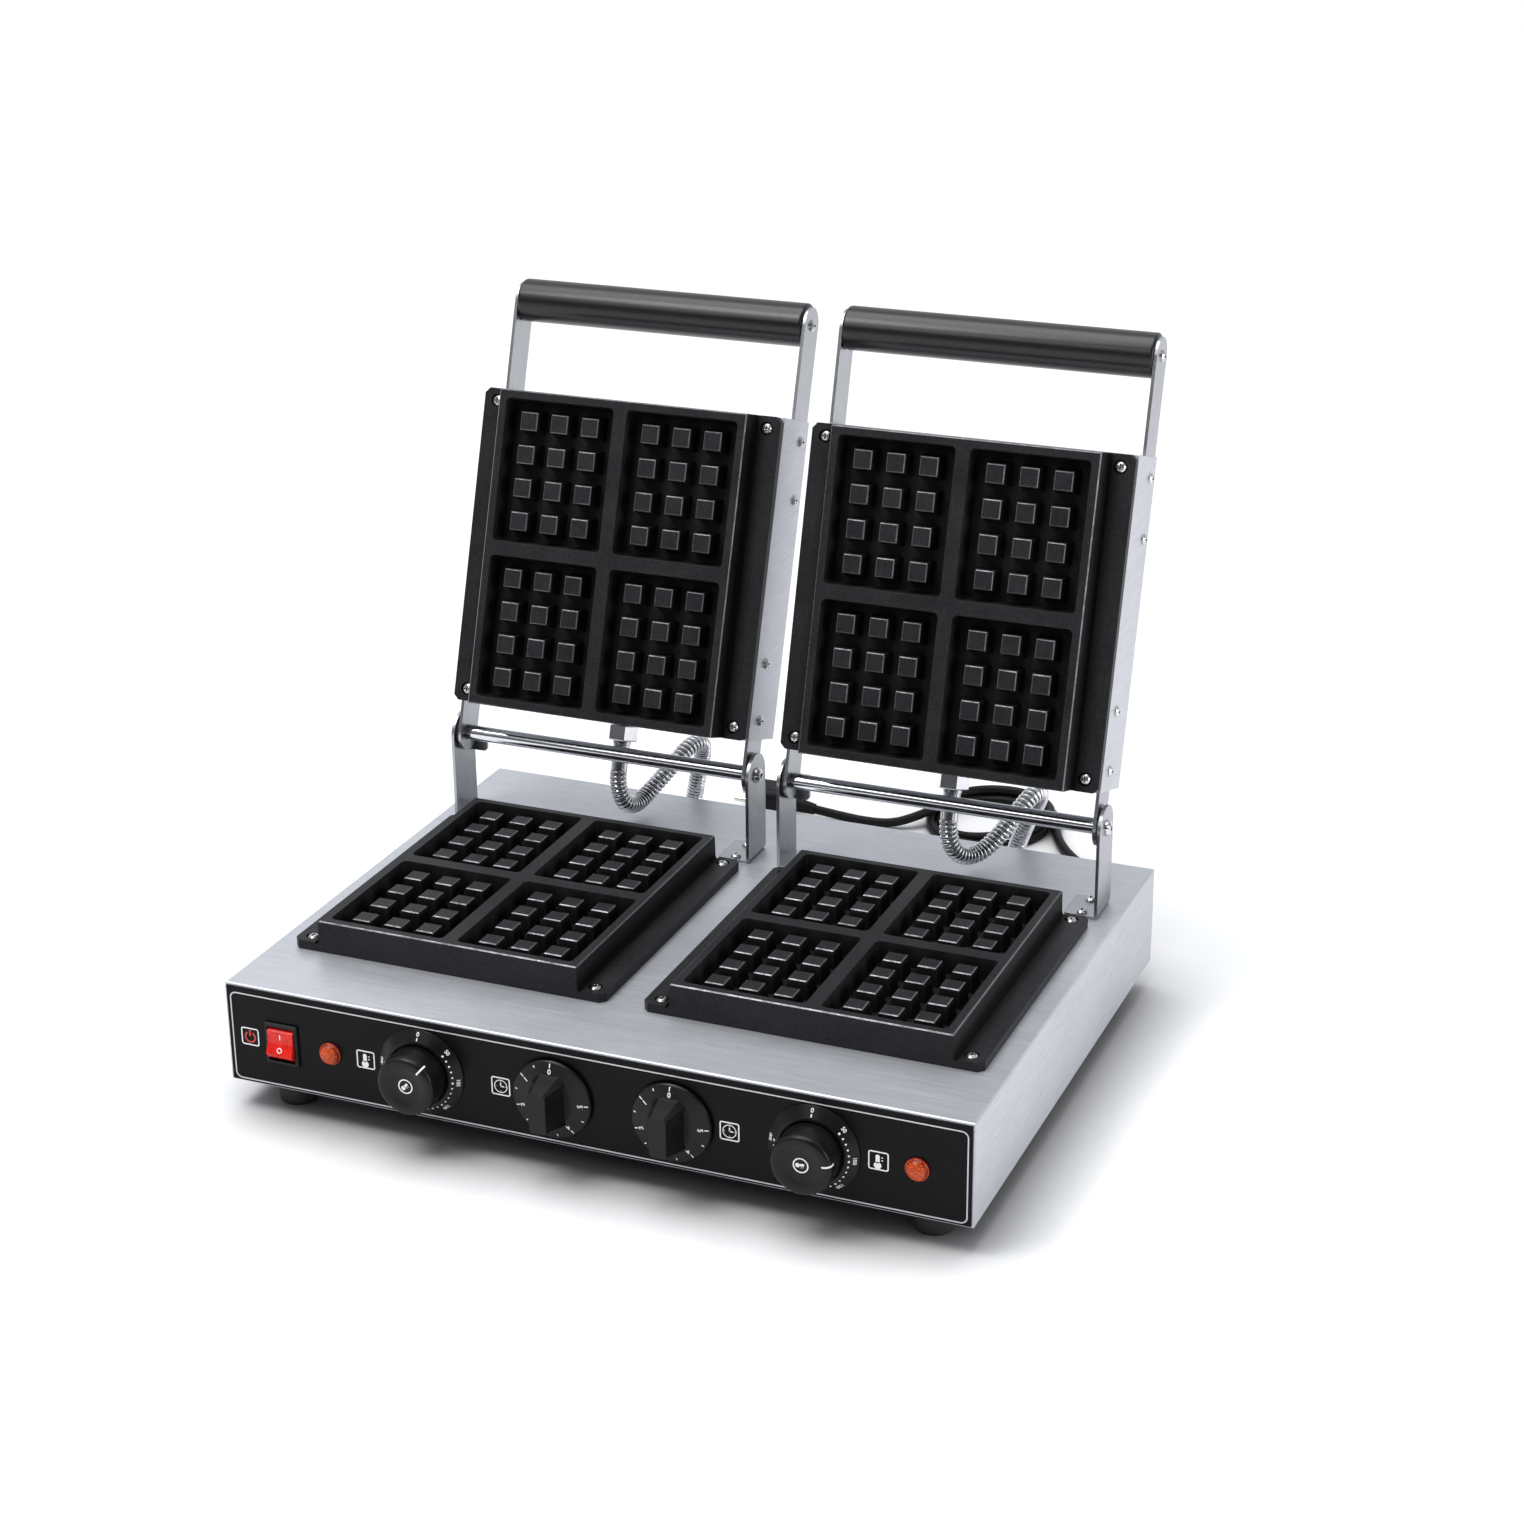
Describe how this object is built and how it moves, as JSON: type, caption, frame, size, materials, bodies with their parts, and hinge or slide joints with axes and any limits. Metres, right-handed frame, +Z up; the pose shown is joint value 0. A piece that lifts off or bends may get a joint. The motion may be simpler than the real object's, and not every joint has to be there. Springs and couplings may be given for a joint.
{
  "type": "waffle maker",
  "caption": "Electric waffle maker with side-by-side hinged heads on a low stainless base, waffle plates above and below, bar handles, temperature dials, timers and a mains lead.",
  "frame": {"origin": "on the floor under the feet, at the centre of the object's box in X and Y, measured without the mains lead", "axes": "+X to the right seen from the control panel, -Y the side of the controls, +Z up; rest pose has both heads tipped back on their stops"},
  "size_m": [0.56, 0.7635, 0.5074],
  "materials": {
    "stainless": "brushed",
    "stainless_arm": "satin",
    "galvanised": "matte",
    "screw_steel": "bright",
    "panel_black": "satin",
    "foot_rubber": "matte",
    "element_sheath": "matte",
    "washer_black": "matte",
    "chrome_parts": "polished",
    "hose_chrome": "ribbed, bright",
    "black_plastic": "satin",
    "red_rocker": "gloss",
    "lamp_orange": "gloss",
    "ceramic_white": "glazed",
    "cord_black": "satin",
    "brass_nickel": "nickel-plated",
    "plate_black": "black non-stick coating, fine grain",
    "grip_black": "satin"
  },
  "bodies": {
    "base": {"base_housing": "stainless", "bottom_cover": "galvanised", "bottom_cover_screws": "screw_steel", "bracket_screws": "screw_steel", "control_panel": "panel_black", "cord_coil": "cord_black", "cord_gland": "cord_black", "cord_lead": "cord_black", "cord_tail": "cord_black", "foot_screws": "screw_steel", "hinge_bolts": "chrome_parts", "hinge_rods": "chrome_parts", "hinge_washers": "washer_black", "hose_glands": "chrome_parts", "lamp_bodies": "black_plastic", "lamp_lenses": "lamp_orange", "left_hinge_brackets": "stainless_arm", "left_hose": "hose_chrome", "left_lower_plate": "plate_black", "lower_elements": "element_sheath", "lower_heat_shields": "galvanised", "lower_plate_screws": "screw_steel", "plug_body": "cord_black", "plug_pins": "brass_nickel", "right_hinge_brackets": "stainless_arm", "right_hose": "hose_chrome", "right_lower_plate": "plate_black", "rubber_feet": "foot_rubber", "switch_body": "black_plastic", "temp_dials": "black_plastic", "terminal_block": "ceramic_white", "thermostats": "galvanised", "timers": "galvanised"},
    "left_head": {"left_upper_plate": "plate_black", "left_upper_element": "element_sheath", "left_upper_heat_shield": "galvanised", "left_head_housing": "stainless", "left_hinge_arms": "stainless_arm", "left_handle_arms": "stainless_arm", "left_handle_grip": "grip_black", "left_hose_fitting": "chrome_parts", "left_head_screws": "screw_steel"},
    "right_head": {"right_upper_plate": "plate_black", "right_upper_element": "element_sheath", "right_upper_heat_shield": "galvanised", "right_head_housing": "stainless", "right_hinge_arms": "stainless_arm", "right_handle_arms": "stainless_arm", "right_handle_grip": "grip_black", "right_hose_fitting": "chrome_parts", "right_head_screws": "screw_steel"},
    "power_switch": {"power_rocker": "red_rocker"},
    "left_temp_control": {"left_temp_knob": "black_plastic", "left_temp_spindle": "screw_steel"},
    "left_timer_control": {"left_timer_knob": "black_plastic", "left_timer_spindle": "screw_steel"},
    "right_temp_control": {"right_temp_knob": "black_plastic", "right_temp_spindle": "screw_steel"},
    "right_timer_control": {"right_timer_knob": "black_plastic", "right_timer_spindle": "screw_steel"}
  },
  "joints": [
    {"name": "left_head_hinge", "type": "hinge", "parent": "base", "child": "left_head", "pos_m": [-0.1385, 0.11006, 0.1665], "axis": [1, 0, 0], "range_deg": [0, 108.5], "deforming": ["left_hose"]},
    {"name": "right_head_hinge", "type": "hinge", "parent": "base", "child": "right_head", "pos_m": [0.1385, 0.11006, 0.1665], "axis": [1, 0, 0], "range_deg": [0, 106.5], "deforming": ["right_hose"]},
    {"name": "left_temp_knob_turn", "type": "hinge", "parent": "base", "child": "left_temp_control", "pos_m": [-0.1237, -0.22893, 0.0585], "axis": [0, 1, 0], "range_deg": [-40, 255]},
    {"name": "left_timer_knob_turn", "type": "hinge", "parent": "base", "child": "left_timer_control", "pos_m": [-0.022, -0.22893, 0.0585], "axis": [0, 1, 0], "range_deg": [0, 270]},
    {"name": "right_temp_knob_turn", "type": "hinge", "parent": "base", "child": "right_temp_control", "pos_m": [0.1687, -0.22893, 0.0585], "axis": [0, 1, 0], "range_deg": [-80, 215]},
    {"name": "right_timer_knob_turn", "type": "hinge", "parent": "base", "child": "right_timer_control", "pos_m": [0.067, -0.22893, 0.0585], "axis": [0, 1, 0], "range_deg": [0, 270]},
    {"name": "power_rocker_tilt", "type": "hinge", "parent": "base", "child": "power_switch", "pos_m": [-0.235, -0.22443, 0.0585], "axis": [1, 0, 0], "range_deg": [0, 22]}
  ]
}
